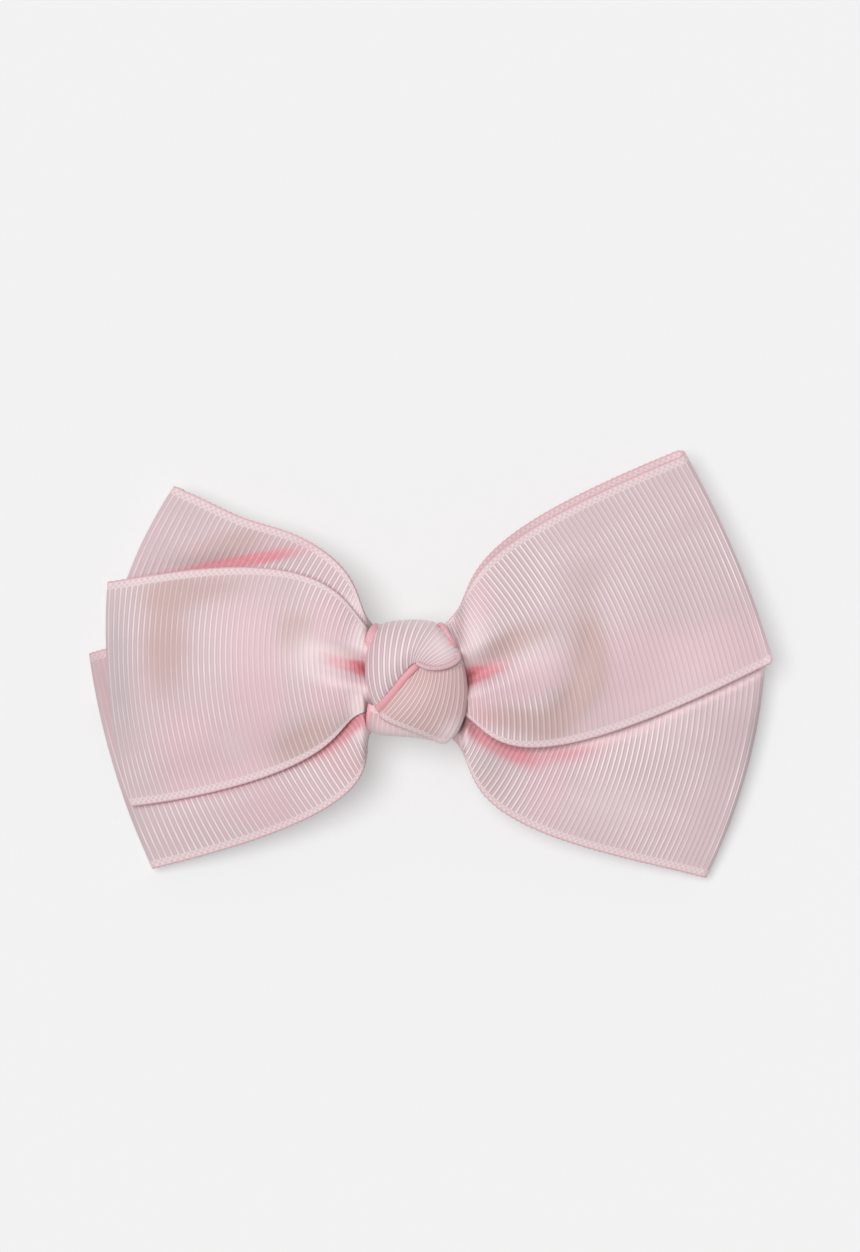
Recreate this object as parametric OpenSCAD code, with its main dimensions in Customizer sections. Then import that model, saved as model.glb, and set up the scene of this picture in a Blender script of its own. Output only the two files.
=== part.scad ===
// Ribbon hair bow on an alligator clip.
// Millimetres. The bow lies face up over its clip: +Z up, +X along the bow, origin on the clip's flat back
// under the middle of the knot.

/* [Ribbon] */
// Width of the bow ribbon
ribbon_w = 38; // [36:0.5:40]
// Thickness of the bow ribbon
ribbon_t = 0.3; // [0.25:0.05:0.4]
// Rise from one layer to the next where the waist is gathered
layer_step = 1.3; // [1.25:0.05:1.6]
// Height of the gathers beside the knot
pleat_h = 1.6; // [1.2:0.1:1.7]
// Height of the gathers under the thread
pleat_waist = 1.0; // [0.8:0.05:1.05]

/* [Front left tail] */
// Knot centre to the middle of the cut end
tail_reach = 50; // [46:0.5:53]
// Direction of the tail, from +X
tail_turn = 182.4; // [180:0.2:185]
// Turn of the cut end away from square to that direction
tail_skew = 3.2; // [1:0.2:4]
// How far the cut end bows out in the middle
tail_bow = 1.6; // [0:0.1:3]

/* [Upper right loop] */
// Knot centre to the middle of the fold
right_up_reach = 57.2; // [54:0.2:60]
// Direction of the loop
right_up_turn = 21.4; // [20:0.2:23]
// Turn of the fold away from square to that direction
right_up_skew = 1.4; // [-2:0.2:4]
// How far the fold bows out in the middle
right_up_bow = 1.1; // [0:0.1:2]

/* [Lower left loop] */
// Knot centre to the middle of the fold
left_low_reach = 51.8; // [49:0.2:54]
// Direction of the loop
left_low_turn = 195.2; // [194:0.2:197]
// Turn of the fold away from square to that direction
left_low_skew = 0.6; // [-1:0.2:2]
// How far the fold bows out in the middle
left_low_bow = 1.4; // [0:0.1:2.5]

/* [Lower right loop] */
// Knot centre to the middle of the fold
right_low_reach = 56.6; // [54:0.2:59]
// Direction of the loop
right_low_turn = -15.4; // [-17:0.2:-14]
// Turn of the fold away from square to that direction
right_low_skew = 0.4; // [-1:0.2:2]
// How far the fold bows out in the middle
right_low_bow = 1.8; // [0:0.1:3]

/* [Upper left loop] */
// Knot centre to the middle of the fold
left_up_reach = 49.6; // [47:0.2:52]
// Direction of the loop
left_up_turn = 162.2; // [161:0.2:164]
// Turn of the fold away from square to that direction
left_up_skew = -1.6; // [-3:0.2:0]
// How far the fold bows out in the middle
left_up_bow = 2.5; // [0:0.1:3.5]

/* [Folds] */
// Height of a loop's fold, between the middles of its two layers
fold_h = 2.6; // [2.2:0.1:3]
// How far the fold stands out past its layers
fold_out = 1.5; // [1:0.1:2]

/* [Knot] */
// Height of the knot over its edge
knot_h = 4.6; // [3.5:0.1:6]
// Thickness of the knot at its rim
knot_rim = 1.6; // [1.2:0.1:2.4]
// Half length of the knot along the bow
knot_rx = 8.2; // [7.6:0.1:9]
// Half width of the knot across the bow
knot_ry = 10.3; // [10:0.1:11]
// Middle of the knot along the bow
knot_x = 0.3; // [-0.5:0.1:1]
// Depth of the crease between the knot's two turns
knot_crease = 0.9; // [0:0.1:1.4]
// Width of the gathered band that holds the bow to the clip
band_w = 10.4; // [8:0.2:11]
// Middle of that band along the bow
band_x = -1; // [-1.5:0.1:0]
// Thickness of that band
band_t = 0.4; // [0.3:0.05:0.5]
// Rounding of the band under the clip
band_r = 2.5; // [1.5:0.1:3]

/* [Thread and pad] */
// Diameter of the gathering thread
thread_d = 0.5; // [0.35:0.05:0.6]
// Step of the thread from one turn to the next
thread_step = 1.0; // [0.95:0.05:1.3]
// Turns of the thread
thread_turns = 2; // [1:1:3]
// Thickness of the glue pad on the clip
pad_t = 0.8; // [0.5:0.1:1]
// Length of the glue pad
pad_len = 18; // [12:1:20]
// Width of the glue pad
pad_w = 7; // [5:0.5:8]

/* [Clip] */
// Sheet thickness of both arms
sheet_t = 0.7; // [0.5:0.05:0.8]
// Underside of the upper arm over the back of the clip
jaw_h = 4.4; // [4.2:0.05:4.6]
// Pivot to the tip of the jaw
jaw_len = 31; // [28:0.5:32]
// Pivot to the finger end
lever_len = 13; // [12:0.5:14]
// Pivot along the bow
pivot_x = 11; // [10:0.5:12]
// Slope of the upper finger lever
lever_rise = 11; // [8:1:14]
// Width of the upper arm
arm_w = 8.4; // [8:0.2:9]
// Height of the lower arm's side walls under the band
wall_h = 3.1; // [2.4:0.05:3.2]
// Height of the teeth
tooth_h = 0.8; // [0.5:0.1:1]
// Length of one tooth
tooth_pitch = 1.5; // [1.2:0.1:2]
// Number of teeth on each wall
tooth_n = 7; // [3:1:8]
// Diameter of the hinge pin
pin_d = 1.4; // [1.2:0.1:1.6]
// Diameter of the pin's heads
pin_head_d = 2.4; // [2:0.1:2.8]
// Thickness of the pin's heads
pin_head_t = 0.4; // [0.3:0.1:0.6]
// Radial clearance of the pin in both arms
pin_fit = 0.08; // [0.05:0.01:0.12]
// Radius of the ears round the pin
ear_r = 1.6; // [1.5:0.05:1.65]
// Gap between the ears of the two arms
ear_gap = 0.2; // [0.1:0.05:0.3]

/* [Spring] */
// Wire of the torsion spring
wire_d = 0.6; // [0.45:0.05:0.65]
// Outer diameter of its coil
coil_d = 3.2; // [3:0.1:3.3]
// Turns of its coil
coil_turns = 3; // [2:1:4]
// Step of its coil from one turn to the next
coil_step = 1.1; // [1.05:0.05:1.25]
// Length of its legs past the coil
leg_len = 7; // [4:0.5:8]

/* [Lining] */
// Width of the lining ribbon on the clip
lining_w = 9.6; // [9.2:0.1:10]
// Thickness of the lining ribbon
lining_t = 0.4; // [0.3:0.05:0.5]
// Pivot to the end of the lining, on top and below
lining_gap = 2.6; // [2.4:0.2:4]

/* [Hidden] */

$fn = 48;
air = 0.1;            // between pieces that lie on each other
thread_air = 0.3;     // between the thread and the ribbon
layers = 5;           // layers of ribbon at the waist
half_w = ribbon_w/2;
pink = [0.93, 0.8, 0.81];

// The stack over the clip, from the bottom up.
pivot_z = (sheet_t + jaw_h)/2;
lining_top = jaw_h + sheet_t + lining_t + air;
pad_z = lining_top + air;
thread_low = pad_z + pad_t + air + thread_d/2;
waist_low = thread_low + thread_d/2 + thread_air + ribbon_t/2 + pleat_waist;
waist_top = waist_low + (layers - 1)*layer_step;
thread_up = waist_top + pleat_waist + ribbon_t/2 + thread_air + thread_d/2;
knot_z = waist_top + 3.7;
band_low = jaw_h - lining_t - 2*air - band_t;
band_y = knot_ry - band_t - air;        // inside of the band, from the middle
crease_mid = [0.2, 3];                  // the knot's crease: its turning point and its two ends
crease_left = [-6.4, -4.8];
crease_right = [7.4, 4.6];
thread_side = 1.4;                      // from the ribbons' outermost edge to the thread's middle
ear_in = arm_w/2 - sheet_t;             // inner face of the upper ears
wall_y = ear_in - ear_gap;              // outer face of the lower walls
wall_in = wall_y - sheet_t;             // their inner face

// Nets of the ribbon layers: heights are over the top layer at the waist.
// Each row has its lower edge, middle and upper edge. An ease is a length back from the edge and a height.
tail_near = [[-22.5, -2.5, 1], [-20, 0, 1.7], [-17, 3, 1.1]];
tail_far = [[3, -12, 4.5], [2, 8.5, 9], [1.5, 29, 5.5]];
tail_ease = [[12, -2], [10.5, 2.5], [9, 1]];
tail_edge = [-5.5, -1, -1];

right_up_near = [[19.5, 1.5, 1], [18, 8, 1.2], [17, 15, 1.1]];
right_up_far = [[-2, -29.5, 5], [-2.5, -6, 9.3], [-3, 17, 6]];
right_up_ease = [[8, 0.5], [13, 1.5], [18, -0.5]];
right_up_edge = [-2.5, -3, -4.5];
right_up_near_b = [[19.5, 1.5, -0.5], [18, 8, -0.5], [17, 15, -0.6]];
right_up_far_b = [[-2, -29.5, 0.6], [-2.5, -5, 0.3], [-3, 19, 0]];
right_up_ease_b = [[8, -3.3], [13, -4], [18, -5.5]];

left_low_near = [[-23, -7.5, -1.5], [-20, -3.5, -0.5], [-17, 0.5, -0.7]];
left_low_far = [[16, -17.5, 1.1], [6, -2, 2.9], [-4, 14, 1.1]];
left_low_ease = [[10, -6], [12, -2.5], [14, -2]];
left_low_edge = [-9.9, -6.5, -4];
left_low_near_b = [[-23, -7.5, -2.7], [-20, -3.5, -2.1], [-17, 0.5, -2.3]];
left_low_far_b = [[16, -17.5, -2.3], [6, -2, -2.1], [-4, 14, -1.7]];
left_low_ease_b = [[10, -10.5], [12, -7.9], [14, -5.5]];

right_low_near = [[19.5, -11.5, -3.1], [19, -6, -2.5], [18, -1, -2.4]];
right_low_far = [[-6, -22.5, -1], [-1, -5, -0.3], [4, 12, -1.5]];
right_low_ease = [[16.5, -6], [15, -4], [14, -4.7]];
right_low_edge = [-9.9, -7.5, -6.2];
right_low_near_b = [[19.5, -11.5, -3.8], [19, -6, -3.5], [18, -1, -3.5]];
right_low_far_b = [[-6, -22.5, -3.1], [-1, -5, -2.3], [4, 12, -2.5]];
right_low_ease_b = [[16.5, -10.5], [15, -8.5], [14, -7.9]];

left_up_near = [[-18, -6, -4.1], [-18, 2, -3.5], [-18, 10, -2.5]];
left_up_far = [[-6, -13, -5.5], [-2.5, 3, -3], [1, 19, 0.5]];
left_up_ease = [[14, -8.6], [17, -6.6], [20, -2.5]];
left_up_edge = [-10.1, -8.1, -5];
left_up_near_b = [[-18, -6, -5.1], [-18, 2, -5.1], [-18, 10, -4.9]];
left_up_far_b = [[-6, -13, -5.9], [-2.5, 3, -4.7], [1, 19, -3.8]];
left_up_ease_b = [[14, -11.5], [17, -9.8], [20, -7]];

// Lower and upper edge of each layer at the waist, from the top layer down.
waist = [[-5, 6.5], [-5.75, 5.25], [-6.5, 4], [-5.25, 5.25], [-4, 6.5]];

function mix3(a, t) = a[0]*t*(t - 1)/2 + a[1]*(1 - t*t) + a[2]*t*(t + 1)/2;
function smooth(a) = let (c = min(1, max(0, a))) c*c*(3 - 2*c);

// Gathers at the knot: one field for every layer, so that the layers nest.
function pleat_mid(x) = 1.4 - min(1, max(-1, x/8.5)) + max(0, abs(x) - 8.5)*(x < 0 ? 0.28 : 0.45);
function pleat_len(x, up) = (7.2 + (up ? 2.3 : -0.8)*smooth(x/17 + 0.5))*(0.72 + 0.035*abs(x));
function pleat(x, y) =
    let (dy = y - pleat_mid(x), ph = min(1, max(-1.5, dy/pleat_len(x, dy > 0))),
         h = pleat_waist + (pleat_h - pleat_waist)*min(1, abs(x)/8))
    -h*smooth((21 - abs(x))/12)*cos(360*ph);

// A point of one layer: v runs from the lower edge, -1, to the upper edge, 1, and u from waist to fold.
function edge_pt(fold, v, out) =
    let (mid = fold[0]*[cos(fold[1]), sin(fold[1])], a = fold[1] + fold[2], s = cos(fold[1]) < 0 ? -1 : 1)
    mid + (out + fold[3]*(1 - v*v))*[cos(a), sin(a)] + s*v*half_w*[-sin(a), cos(a)];

function layer_pt(fold, k, near, far, ease, edge, inset, v, u) =
    let (w = 1 - u, e = edge_pt(fold, v, -inset), a = fold[1] + fold[2], m = mix3(ease, v),
         b0 = w*w*w*w, b1 = 4*w*w*w*u, b2 = 6*w*w*u*u, b3 = 4*w*u*u*u, b4 = u*u*u*u,
         n = mix3(near, v), f = mix3(far, v),
         q = e - m[0]*[cos(a), sin(a)],
         y0 = (waist[k][0]*(1 - v) + waist[k][1]*(1 + v))/2,
         x = b1*n[0] + b2*f[0] + b3*q[0] + b4*e[0],
         y = b0*y0 + b1*n[1] + b2*f[1] + b3*q[1] + b4*e[1],
         z = -b0*k*layer_step + b1*n[2] + b2*f[2] + b3*m[1] + b4*mix3(edge, v))
    [x, y, waist_top + z + pleat(x, y)];

function fold_pt(fold, edge, v, a) =
    let (e = edge_pt(fold, v, -fold_out), d = fold[1] + fold[2])
    [e[0] + fold_out*sin(a)*cos(d), e[1] + fold_out*sin(a)*sin(d),
     waist_top + mix3(edge, v) - fold_h/2*(1 - cos(a)) + pleat(e[0], e[1])];

function loop_rows(fold, kf, near, far, ease, edge, near_b, far_b, ease_b) =
    let (low = [for (e = edge) e - fold_h], n = 9, m = 4)
    [for (i = [0:n]) [for (v = vs) layer_pt(fold, kf, near, far, ease, edge, fold_out, v, i/n)],
     for (i = [1:m]) [for (v = vs) fold_pt(fold, edge, v, 180*i/m)],
     for (i = [n - 1:-1:0])
         [for (v = vs) layer_pt(fold, kf + 1, near_b, far_b, ease_b, low, fold_out, v, i/n)]];

vs = [for (i = [0:14]) i/7 - 1];

// A closed sheet of thickness t over rows of points.
function unit(a) = a/norm(a);
function row_normal(rows, i, j) =
    let (i0 = max(0, i - 1), i1 = min(len(rows) - 1, i + 1),
         j0 = max(0, j - 1), j1 = min(len(rows[0]) - 1, j + 1))
    unit(cross(rows[i1][j] - rows[i0][j], rows[i][j1] - rows[i][j0]));

module sheet(rows, t, flip) {
    n = len(rows);
    m = len(rows[0]);
    s = (flip ? -1 : 1)*t/2;
    pts = [for (side = [1, -1]) for (i = [0:n - 1]) for (j = [0:m - 1])
        rows[i][j] + side*s*row_normal(rows, i, j)];
    o = n*m;
    top = [for (i = [0:n - 2]) for (j = [0:m - 2]) let (a = i*m + j, b = a + 1, c = a + m, d = c + 1)
        each [[a, b, d], [a, d, c]]];
    low = [for (f = top) [f[2] + o, f[1] + o, f[0] + o]];
    ends = [for (j = [0:m - 2]) let (a = j, b = j + 1, c = (n - 1)*m + j, d = c + 1)
        each [[b, a, a + o], [b, a + o, b + o], [c, d, d + o], [c, d + o, c + o]]];
    sides = [for (i = [0:n - 2]) let (a = i*m, b = a + m, c = a + m - 1, d = c + m)
        each [[a, b, b + o], [a, b + o, a + o], [d, c, c + o], [d, c + o, d + o]]];
    faces = concat(top, low, ends, sides);
    polyhedron(pts, flip ? [for (f = faces) [f[2], f[1], f[0]]] : faces, convexity = 8);
}

// The stretches of the one ribbon, from its cut end. Each meets the next at the waist.
module front_left_tail() {
    fold = [tail_reach, tail_turn, tail_skew, tail_bow];
    rows = [for (i = [0:12]) [for (v = vs)
        layer_pt(fold, 0, tail_near, tail_far, tail_ease, tail_edge, 0, v, i/12)]];
    color(pink) sheet(rows, ribbon_t, true);
}

module upper_right_loop() {
    fold = [right_up_reach, right_up_turn, right_up_skew, right_up_bow];
    rows = loop_rows(fold, 0, right_up_near, right_up_far, right_up_ease, right_up_edge,
        right_up_near_b, right_up_far_b, right_up_ease_b);
    color(pink) sheet(rows, ribbon_t, false);
}

module lower_left_loop() {
    fold = [left_low_reach, left_low_turn, left_low_skew, left_low_bow];
    rows = loop_rows(fold, 1, left_low_near, left_low_far, left_low_ease, left_low_edge,
        left_low_near_b, left_low_far_b, left_low_ease_b);
    color(pink) sheet(rows, ribbon_t, true);
}

module lower_right_loop() {
    fold = [right_low_reach, right_low_turn, right_low_skew, right_low_bow];
    rows = loop_rows(fold, 2, right_low_near, right_low_far, right_low_ease, right_low_edge,
        right_low_near_b, right_low_far_b, right_low_ease_b);
    color(pink) sheet(rows, ribbon_t, false);
}

module upper_left_loop() {
    fold = [left_up_reach, left_up_turn, left_up_skew, left_up_bow];
    rows = loop_rows(fold, 3, left_up_near, left_up_far, left_up_ease, left_up_edge,
        left_up_near_b, left_up_far_b, left_up_ease_b);
    color(pink) sheet(rows, ribbon_t, true);
}

// The knot: a dome with a crease from its middle down to the lower left and out to the right.
function crease_d(x, y) =
    min(seg_d([x, y], crease_mid, crease_left), seg_d([x, y], crease_mid, crease_right));
function seg_d(p, a, b) = let (t = min(1, max(0, (p - a)*(b - a)/((b - a)*(b - a))))) norm(p - a - t*(b - a));
function knot_ring(a) =
    let (c = abs(cos(a)), s = abs(sin(a)), r = 1/pow(pow(c, 3) + pow(s, 3), 1/3)) [r*cos(a), r*sin(a)];

module center_knot() {
    na = 40;
    rings = concat([[0.86, 0], [0.97, knot_rim*0.35], [1, knot_rim]],
        [for (f = [14:12:86]) [pow(cos(f), 0.7), knot_rim + (knot_h - knot_rim)*pow(sin(f), 0.9)]]);
    pts = concat([for (r = rings) for (i = [0:na - 1])
            let (q = knot_ring(i*360/na), x = r[0]*q[0]*knot_rx, y = r[0]*q[1]*knot_ry,
                 d = crease_d(x, y), g = r[1] > knot_rim ? knot_crease*exp(-d*d/1.6) : 0)
            [knot_x + x, y, knot_z + r[1] - g]],
        [[knot_x, 0, knot_z], [knot_x, 0, knot_z + knot_h - knot_crease*exp(-pow(crease_d(0, 0), 2)/1.6)]]);
    n = len(rings);
    faces = concat(
        [for (k = [0:n - 2]) for (i = [0:na - 1]) let (a = k*na + i, b = k*na + (i + 1)%na)
            each [[a, a + na, b + na], [a, b + na, b]]],
        [for (i = [0:na - 1]) [i, (i + 1)%na, n*na]],
        [for (i = [0:na - 1]) [(n - 1)*na + (i + 1)%na, (n - 1)*na + i, n*na + 1]]);
    color(pink) polyhedron(pts, faces, convexity = 4);
}

// The band: from the knot down both sides and under the upper arm.
module band_outline(y, low, r) {
    translate([-y, low + r]) square([2*y, knot_z - air - low - r]);
    translate([-y + r, low]) square([2*(y - r), r + 1]);
    for (s = [-1, 1]) translate([s*(y - r), low + r]) circle(r);
}

module knot_band() {
    color(pink) translate([band_x - band_w/2, 0, 0]) rotate([90, 0, 90]) linear_extrude(band_w) difference() {
        band_outline(band_y + band_t, band_low, band_r + band_t);
        band_outline(band_y, band_low + band_t, band_r);
        translate([-band_y, knot_z - band_r]) square([2*band_y, 2*band_r]);
    }
}

// The thread winds round the waist as one unbroken tube.
module gathering_thread() {
    n = 32*thread_turns;
    ry = max([for (w = waist) max(w[1], -w[0])]) + thread_side;
    rz = (thread_up - thread_low)/2;
    zc = (thread_up + thread_low)/2;
    function at(i) =
        let (a = 360*i/32 - 90, c = cos(a), s = sin(a), r = 1/pow(pow(abs(c), 4) + pow(abs(s), 4), 0.25))
        [(i/32 - thread_turns/2)*thread_step, ry*r*c, zc + rz*r*s];
    path = [for (i = [0:n]) at(i)];
    least = min([for (i = [0:n - 33]) for (j = [i + 24:min(n, i + 40)]) norm(path[i] - path[j])]) - thread_d;
    echo(thread_gap = least);
    color("white") tube(path, thread_d/2, 6);
}

// A tube along points, with its ends square to them.
module tube(path, r, sides) {
    n = len(path);
    dirs = [for (i = [0:n - 1]) unit(path[min(n - 1, i + 1)] - path[max(0, i - 1)])];
    // Each ring keeps to the axis across the loop, so that it never twists.
    pts = [for (i = [0:n - 1]) let (d = dirs[i], a = unit([1, 0, 0] - d[0]*d), b = cross(d, a))
        each [for (k = [0:sides - 1]) path[i] + r*(a*cos(360*k/sides) + b*sin(360*k/sides))]];
    faces = concat(
        [for (i = [0:n - 2]) for (k = [0:sides - 1]) let (a = i*sides + k, b = i*sides + (k + 1)%sides)
            each [[a, a + sides, b + sides], [a, b + sides, b]]],
        [for (k = [1:sides - 2]) [0, k, k + 1]],
        [for (k = [1:sides - 2]) let (o = (n - 1)*sides) [o, o + k + 1, o + k]]);
    polyhedron(pts, faces, convexity = 6);
}

module glue_pad() {
    color([0.95, 0.93, 0.88]) translate([band_x, 0, pad_z]) linear_extrude(pad_t) {
        square([pad_len - pad_w, pad_w], center = true);
        for (s = [-1, 1]) translate([s*(pad_len - pad_w)/2, 0]) circle(d = pad_w);
    }
}

// The lining runs along the top of the upper arm, round its tip and back below it.
module clip_lining() {
    x0 = pivot_x - jaw_len;
    x1 = pivot_x - lining_gap - ear_r;
    in = sheet_t/2 + air;
    zc = jaw_h + sheet_t/2;
    color(pink) translate([0, lining_w/2, 0]) rotate([90, 0, 0]) linear_extrude(lining_w) {
        for (s = [-1, 1]) translate([x0, zc + s*(in + lining_t/2) - lining_t/2]) square([x1 - x0, lining_t]);
        translate([x0, zc]) difference() {
            circle(in + lining_t);
            circle(in);
            translate([0, -in - 1]) square(2*in + 2);
        }
    }
}

module ear_plate(y0, y1) {
    translate([0, y1, 0]) rotate([90, 0, 0]) linear_extrude(y1 - y0) children();
}

// Side outlines lie in X and Z.
module upper_ear() {
    difference() {
        union() {
            translate([pivot_x, pivot_z]) circle(ear_r);
            translate([pivot_x - ear_r, pivot_z]) square([2*ear_r, jaw_h + sheet_t/2 - pivot_z]);
        }
        translate([pivot_x, pivot_z]) circle(pin_d/2 + pin_fit);
    }
}

module clip_upper_arm() {
    x0 = pivot_x - jaw_len;
    bend = pivot_x + 0.5;
    run = lever_len - 0.5;
    color("silver") {
        translate([x0 + arm_w/2, -arm_w/2, jaw_h]) cube([bend - x0 - arm_w/2, arm_w, sheet_t]);
        translate([x0 + arm_w/2, 0, jaw_h]) cylinder(h = sheet_t, d = arm_w);
        // Finger lever
        translate([bend, 0, jaw_h]) rotate([0, -lever_rise, 0]) {
            translate([-0.05, -arm_w/2, 0]) cube([run - arm_w/2 + 0.05, arm_w, sheet_t]);
            translate([run - arm_w/2, 0, 0]) cylinder(h = sheet_t, d = arm_w);
        }
        for (s = [-1, 1]) ear_plate(s > 0 ? ear_in : -arm_w/2, s > 0 ? arm_w/2 : -ear_in) upper_ear();
    }
}

module lower_wall() {
    x0 = pivot_x - jaw_len + 1;
    teeth = x0 + tooth_n*tooth_pitch;
    difference() {
        union() {
            translate([pivot_x, pivot_z]) circle(ear_r);
            polygon([[x0, sheet_t/2], [pivot_x + 4, sheet_t/2], [pivot_x + ear_r, pivot_z], [pivot_x, wall_h],
                [teeth + 1, wall_h], [teeth, wall_h - tooth_h/2], [x0, wall_h - tooth_h/2]]);
            for (i = [0:tooth_n - 1]) translate([x0 + i*tooth_pitch, wall_h - tooth_h/2 - 0.05])
                polygon([[0, 0], [tooth_pitch, 0], [tooth_pitch/2, tooth_h + 0.05]]);
        }
        translate([pivot_x, pivot_z]) circle(pin_d/2 + pin_fit);
    }
}

module clip_lower_arm() {
    x0 = pivot_x - jaw_len;
    x1 = pivot_x + lever_len;
    color("silver") {
        translate([x0 + wall_y, -wall_y, 0]) cube([x1 - x0 - 2*wall_y, 2*wall_y, sheet_t]);
        for (x = [x0 + wall_y, x1 - wall_y]) translate([x, 0, 0]) cylinder(h = sheet_t, r = wall_y);
        for (s = [-1, 1]) ear_plate(s > 0 ? wall_in : -wall_y, s > 0 ? wall_y : -wall_in) lower_wall();
    }
}

module clip_pin() {
    color("silver") translate([pivot_x, 0, pivot_z]) rotate([90, 0, 0]) {
        cylinder(h = arm_w + 2*air, d = pin_d, center = true);
        for (s = [-1, 1]) translate([0, 0, s*(arm_w/2 + air + pin_head_t/2)])
            cylinder(h = pin_head_t, d = pin_head_d, center = true);
    }
}

// The spring: a coil on the pin, with one leg under the upper lever and one on the lower arm.
module clip_spring() {
    r = (coil_d - wire_d)/2;
    sweep = 360*coil_turns + 180 - lever_rise;
    span = coil_step*sweep/360;
    n = 16*coil_turns + 8;
    coil = [for (i = [0:n]) let (a = -90 - sweep*i/n)
        [pivot_x + r*cos(a), (i/n - 0.5)*span, pivot_z + r*sin(a)]];
    echo(spring_gap = coil_step - wire_d);
    first = coil[0];
    last = coil[n];
    path = concat([for (k = [3:-1:1]) first + [leg_len*k/3, 0, 0]], coil,
        [for (k = [1:3]) last + leg_len*k/3*[cos(lever_rise), 0, sin(lever_rise)]]);
    color("gray") wire(path, wire_d/2, 8);
}

module wire(path, r, sides) {
    n = len(path);
    dirs = [for (i = [0:n - 1]) unit(path[min(n - 1, i + 1)] - path[max(0, i - 1)])];
    pts = [for (i = [0:n - 1]) let (d = dirs[i], a = unit([0, 1, 0] - d[1]*d), b = cross(d, a))
        each [for (k = [0:sides - 1]) path[i] + r*(a*cos(360*k/sides) + b*sin(360*k/sides))]];
    faces = concat(
        [for (i = [0:n - 2]) for (k = [0:sides - 1]) let (a = i*sides + k, b = i*sides + (k + 1)%sides)
            each [[a, a + sides, b + sides], [a, b + sides, b]]],
        [for (k = [1:sides - 2]) [0, k, k + 1]],
        [for (k = [1:sides - 2]) let (o = (n - 1)*sides) [o, o + k + 1, o + k]]);
    polyhedron(pts, faces, convexity = 6);
}

front_left_tail();
upper_right_loop();
lower_left_loop();
lower_right_loop();
upper_left_loop();
center_knot();
knot_band();
gathering_thread();
glue_pad();
clip_lining();
clip_upper_arm();
clip_lower_arm();
clip_spring();
clip_pin();
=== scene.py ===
import math

import bmesh
import bpy
import numpy as np
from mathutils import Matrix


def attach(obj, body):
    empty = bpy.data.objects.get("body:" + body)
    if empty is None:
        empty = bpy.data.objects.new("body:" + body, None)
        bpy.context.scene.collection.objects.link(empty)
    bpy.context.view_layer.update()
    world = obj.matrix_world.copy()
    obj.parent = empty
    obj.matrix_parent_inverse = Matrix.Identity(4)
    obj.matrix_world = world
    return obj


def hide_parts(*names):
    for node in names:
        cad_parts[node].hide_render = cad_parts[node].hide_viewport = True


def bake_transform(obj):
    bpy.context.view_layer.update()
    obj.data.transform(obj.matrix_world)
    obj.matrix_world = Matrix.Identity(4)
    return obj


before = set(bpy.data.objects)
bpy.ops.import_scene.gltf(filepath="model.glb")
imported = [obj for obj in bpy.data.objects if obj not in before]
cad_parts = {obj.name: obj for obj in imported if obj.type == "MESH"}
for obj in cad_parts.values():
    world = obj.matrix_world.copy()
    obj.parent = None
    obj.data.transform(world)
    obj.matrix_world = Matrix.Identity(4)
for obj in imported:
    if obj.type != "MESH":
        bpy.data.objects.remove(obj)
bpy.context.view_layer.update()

mm = 0.001
print("frame loaded")


# the camera, straight above: place in mm, clip in metres

cameraView = {"x": 2.53, "y": 9.46, "height": 893.0, "lens": 150.0, "sensor": 36.0, "clip": (0.05, 20)}

lens = bpy.data.cameras.new("camera")
lens.lens = cameraView["lens"]
lens.sensor_width = cameraView["sensor"]
lens.clip_start, lens.clip_end = cameraView["clip"]
camera = bpy.data.objects.new("camera", lens)
camera.location = (cameraView["x"] * mm, cameraView["y"] * mm, cameraView["height"] * mm)
bpy.context.collection.objects.link(camera)
bpy.context.scene.camera = camera


# shader maths: a socket that can be used in sums, and a material that makes its nodes in one way

class Signal:
    def __init__(self, finish, socket):
        self.finish = finish
        self.socket = socket

    def join(self, operation, first, second=0.0):
        return self.finish.node("ShaderNodeMath", {"operation": operation}, {0: first, 1: second})

    def __add__(self, other):
        return self.join("ADD", self, other)

    def __radd__(self, other):
        return self.join("ADD", other, self)

    def __sub__(self, other):
        return self.join("SUBTRACT", self, other)

    def __rsub__(self, other):
        return self.join("SUBTRACT", other, self)

    def __mul__(self, other):
        return self.join("MULTIPLY", self, other)

    def __rmul__(self, other):
        return self.join("MULTIPLY", other, self)

    def __abs__(self):
        return self.join("ABSOLUTE", self)

    def part(self):                                    # what is left after the whole turns
        return self.join("FRACT", self)

    def limit(self, low, high):                        # 0 at low, 1 at high, never outside
        return self.finish.node("ShaderNodeMapRange", {"interpolation_type": "SMOOTHSTEP"},
                                {0: self, 1: low, 2: high})


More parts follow.
